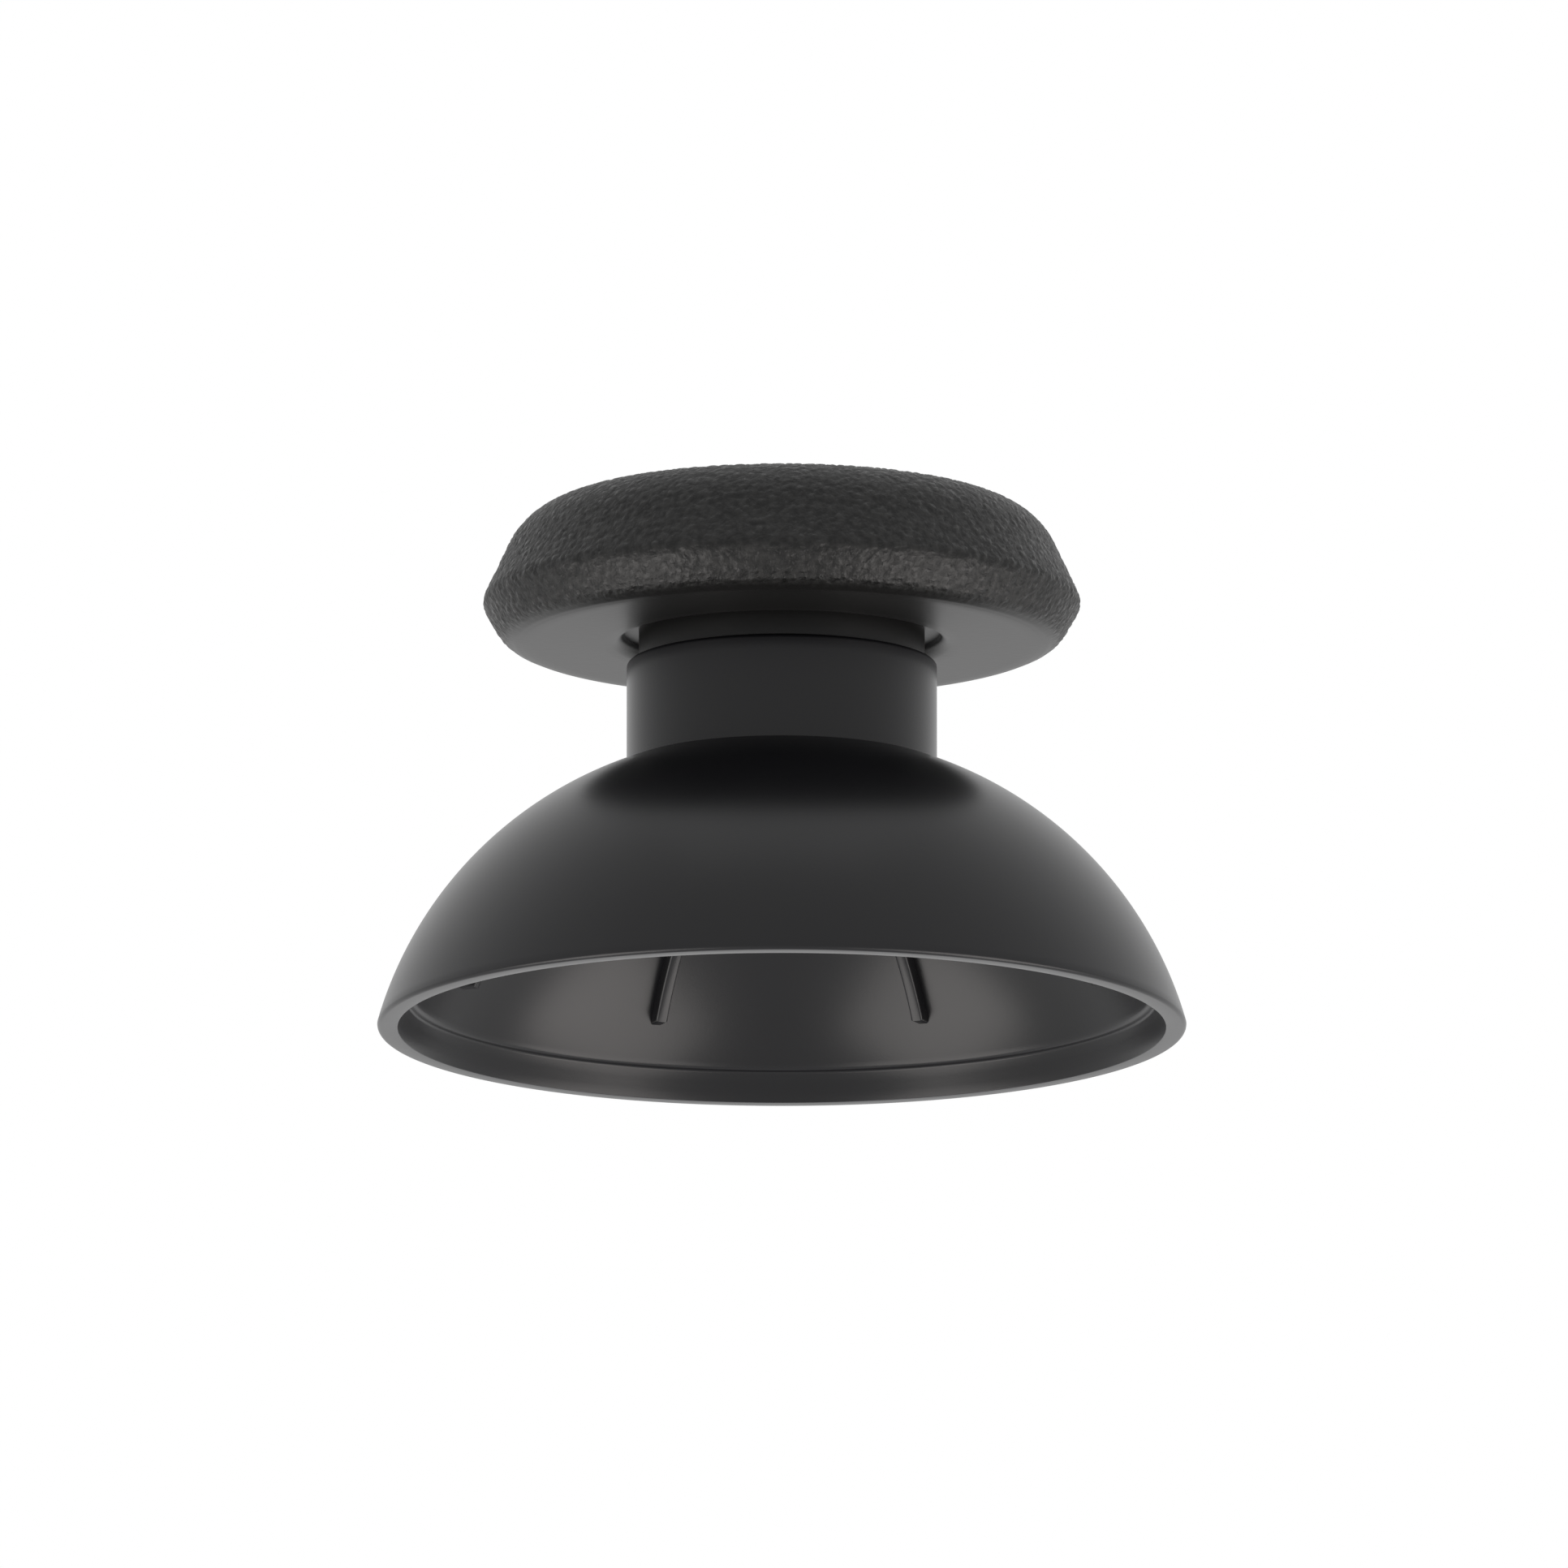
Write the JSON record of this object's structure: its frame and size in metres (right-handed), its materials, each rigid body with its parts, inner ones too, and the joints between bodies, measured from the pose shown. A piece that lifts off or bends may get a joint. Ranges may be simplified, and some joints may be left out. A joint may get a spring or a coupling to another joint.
{
  "type": "thumbstick cap",
  "caption": "Round thumbstick cap: a soft grained grip head with a shallow dish, on a rigid neck that widens into a thin domed skirt with a push-on socket inside.",
  "frame": {"origin": "centre of the dome's rim, in the plane that the rim stands on", "axes": "+Z along the cap's axis, from the rim up to the grip head; the socket's two flats face +Y and -Y"},
  "size_m": [0.026, 0.026, 0.0171],
  "materials": {
    "satin_plastic": "satin charcoal black, smooth moulded plastic",
    "soft_rubber": "dull charcoal black, finely grained on the side, smooth underneath"
  },
  "bodies": {
    "root": {"stem_dome": "satin_plastic", "grip_head": "soft_rubber"}
  },
  "joints": []
}
